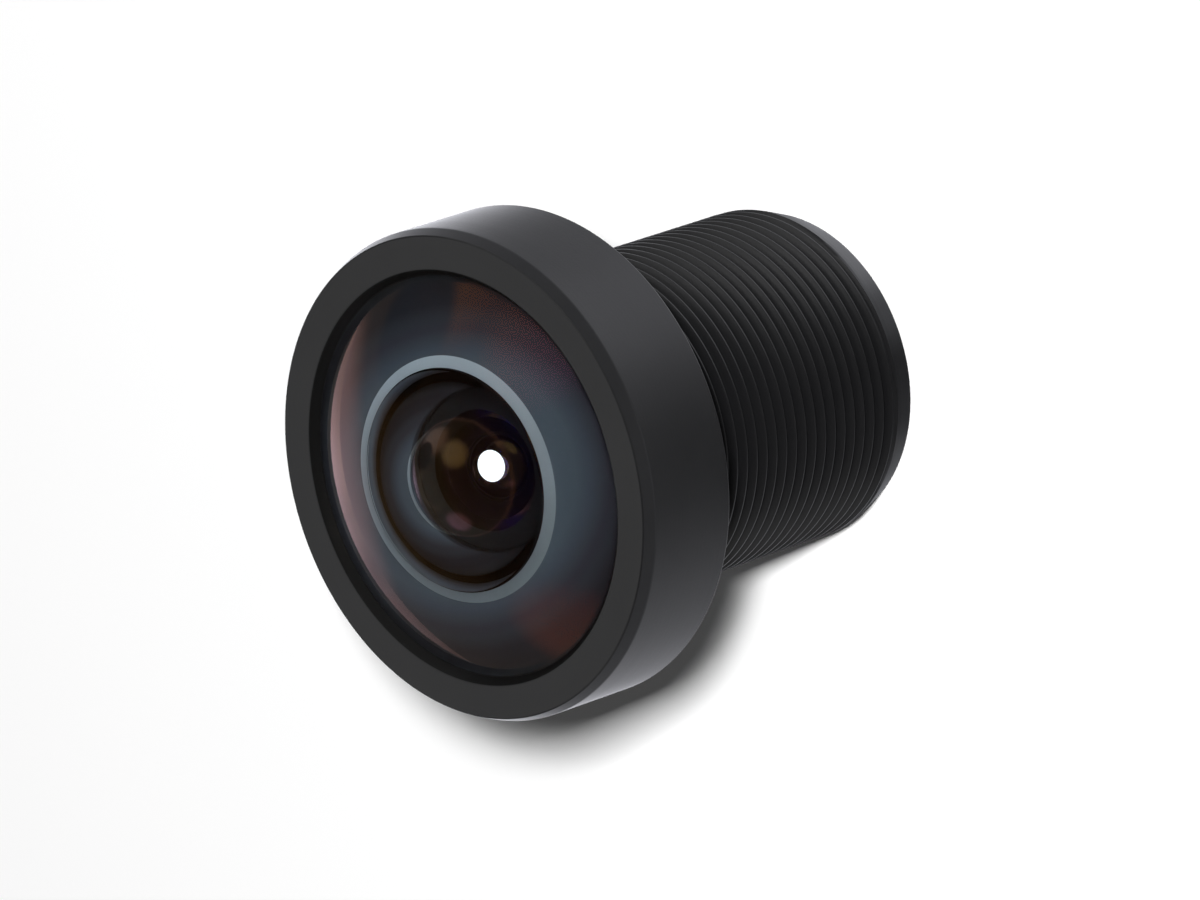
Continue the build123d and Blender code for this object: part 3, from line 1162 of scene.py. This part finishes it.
    def place_camera(self) -> None:
        """Places the camera where the photograph was taken from."""
        data = bpy.data.cameras.new("photo_camera")
        data.sensor_width = self.sensor_width
        data.lens = self.focal_length
        data.clip_start, data.clip_end = self.clip_range
        camera = bpy.data.objects.new("photo_camera", data)
        bpy.context.scene.collection.objects.link(camera)
        camera.location = self.camera_place
        camera.rotation_mode = "QUATERNION"
        level = (Vector(self.camera_aim) - Vector(self.camera_place)).to_track_quat("-Z", "Y")
        camera.rotation_quaternion = level @ Quaternion((0, 0, 1), math.radians(self.camera_roll))
        bpy.context.scene.camera = camera
        bpy.context.scene.view_settings.view_transform = "Standard"

    def build(self) -> None:
        """Sets up the whole studio."""
        self.lay_floor()
        self.light_surround()
        self.hang_key()
        self.place_camera()


@dataclass
class PaintedStopGlow:
    """Painted glow in the open stop: a small glowing disc that stands in for the white surround seen through the
    lens, sizes in millimetres.
    """

    radius: float = 1.3
    height: float = 10.2
    offset: Point = (0.2, 0.42)
    strength: float = 1.6

    def build(self) -> None:
        """Models the disc and hangs it in the stop."""
        begin_piece()
        bpy.ops.mesh.primitive_circle_add(
            vertices=96, radius=self.radius * MM, fill_type="NGON",
            location=(self.offset[0] * MM, self.offset[1] * MM, self.height * MM),
        )
        disc = bpy.context.object
        # Painted glow: the disc shines only to camera and transmission rays and is no lamp.
        disc.name = "painted_stop_glow_disc"
        material, nodes = new_material("painted_stop_glow")
        glow = nodes.add("Emission")
        path = nodes.add("LightPath").outputs
        seen = nodes.math("MAXIMUM", path["Is Camera Ray"], path["Is Transmission Ray"])
        nodes.join(nodes.math("MULTIPLY", seen, self.strength), glow.inputs["Strength"])
        nodes.show(glow.outputs[0])
        disc.data.materials.append(material)


def main() -> None:
    """Builds every piece in order and sets up the studio."""
    logging.basicConfig(level=logging.INFO, format="%(message)s")
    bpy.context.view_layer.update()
    finishes = Finishes()
    Barrel().build(finishes.barrel)
    FrontCap().build(finishes.head, finishes.lip)
    FrontElement().build(
        finishes.front_glass, finishes.land_ink_and_reflection, finishes.ground_rim, finishes.edge_ink, finishes.hollow_glass
    )
    funnel = ((2.85, 14.555), (4.4, 14.555), (4.4, 15.7), (3.8, 15.7), (3.8, 15.4), (3.6, 15.4))
    stop = ((1.35, 9.525), (3.25, 9.525), (3.25, 9.625), (1.1, 9.625))
    rings = (
        (PlainRing("front_spacer", "front_funnel", funnel), finishes.funnel),
        (PlainRing("front_baffle", "front_foil", washer(2.5, 4.4, 12.565, 12.615)), finishes.foil),
        (PlainRing("middle_spacer", "middle_ring", washer(2.95, 3.74, 11.425, 12.565)), finishes.inner),
        (PlainRing("aperture_stop", "stop_disc", stop), finishes.inner),
        (PlainRing("stop_spacer", "stop_ring", washer(2.55, 3.25, 9.025, 9.525)), finishes.inner),
        (PlainRing("thin_spacer", "air_ring", washer(2.55, 3.25, 7.725, 8.425)), finishes.inner),
        (PlainRing("rear_spacer", "rear_ring", washer(2.55, 3.25, 4.275, 5.075)), finishes.inner),
        (PlainRing("rear_baffle", "rear_foil", washer(2.55, 3.25, 3.125, 3.175)), finishes.foil),
        (PlainRing("front_seal", "front_seal_ring", washer(6.3, 7.05, 15.15, 15.7), 0.12), finishes.rubber),
    )
    for ring, finish in rings:
        ring.build(finish)
    elements = (
        (Element("second_element", "second_glass", 4.4, 12.615, 14.555, rear_rim=2.6, rear_vertex=13.925),
         finishes.inner_glass),
        (Element("third_element", "third_glass", 3.75, 9.625, 11.425, front_rim=2.95, front_vertex=12.025),
         finishes.inner_glass),
        (Element("fourth_element", "fourth_glass", 3.25, 8.425, 9.025, rear_rim=2.55, rear_vertex=7.875),
         finishes.rear_glass),
        (Element("fifth_element", "fifth_glass", 3.25, 6.175, 7.725, rear_rim=3.25, rear_vertex=7.125),
         finishes.rear_glass),
        (Element("sixth_element", "sixth_glass", 3.25, 5.075, 6.17, front_rim=3.25, front_vertex=7.12),
         finishes.rear_glass),
        (Element("seventh_element", "seventh_glass", 3.25, 3.175, 4.275, front_rim=2.55, front_vertex=4.725),
         finishes.rear_glass),
        (Element("filter_window", "filter_glass", 4.55, 0.9, 1.2), finishes.filter_glass),
    )
    for element, glass in elements:
        element.build(glass, finishes.edge_ink)
    retaining_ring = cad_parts["retaining_ring"].data
    retaining_ring.materials.clear()
    retaining_ring.materials.append(finishes.inner)
    # Painted glow disc in the stop.
    PaintedStopGlow().build()
    Studio().build()


if __name__ == "__main__":
    main()
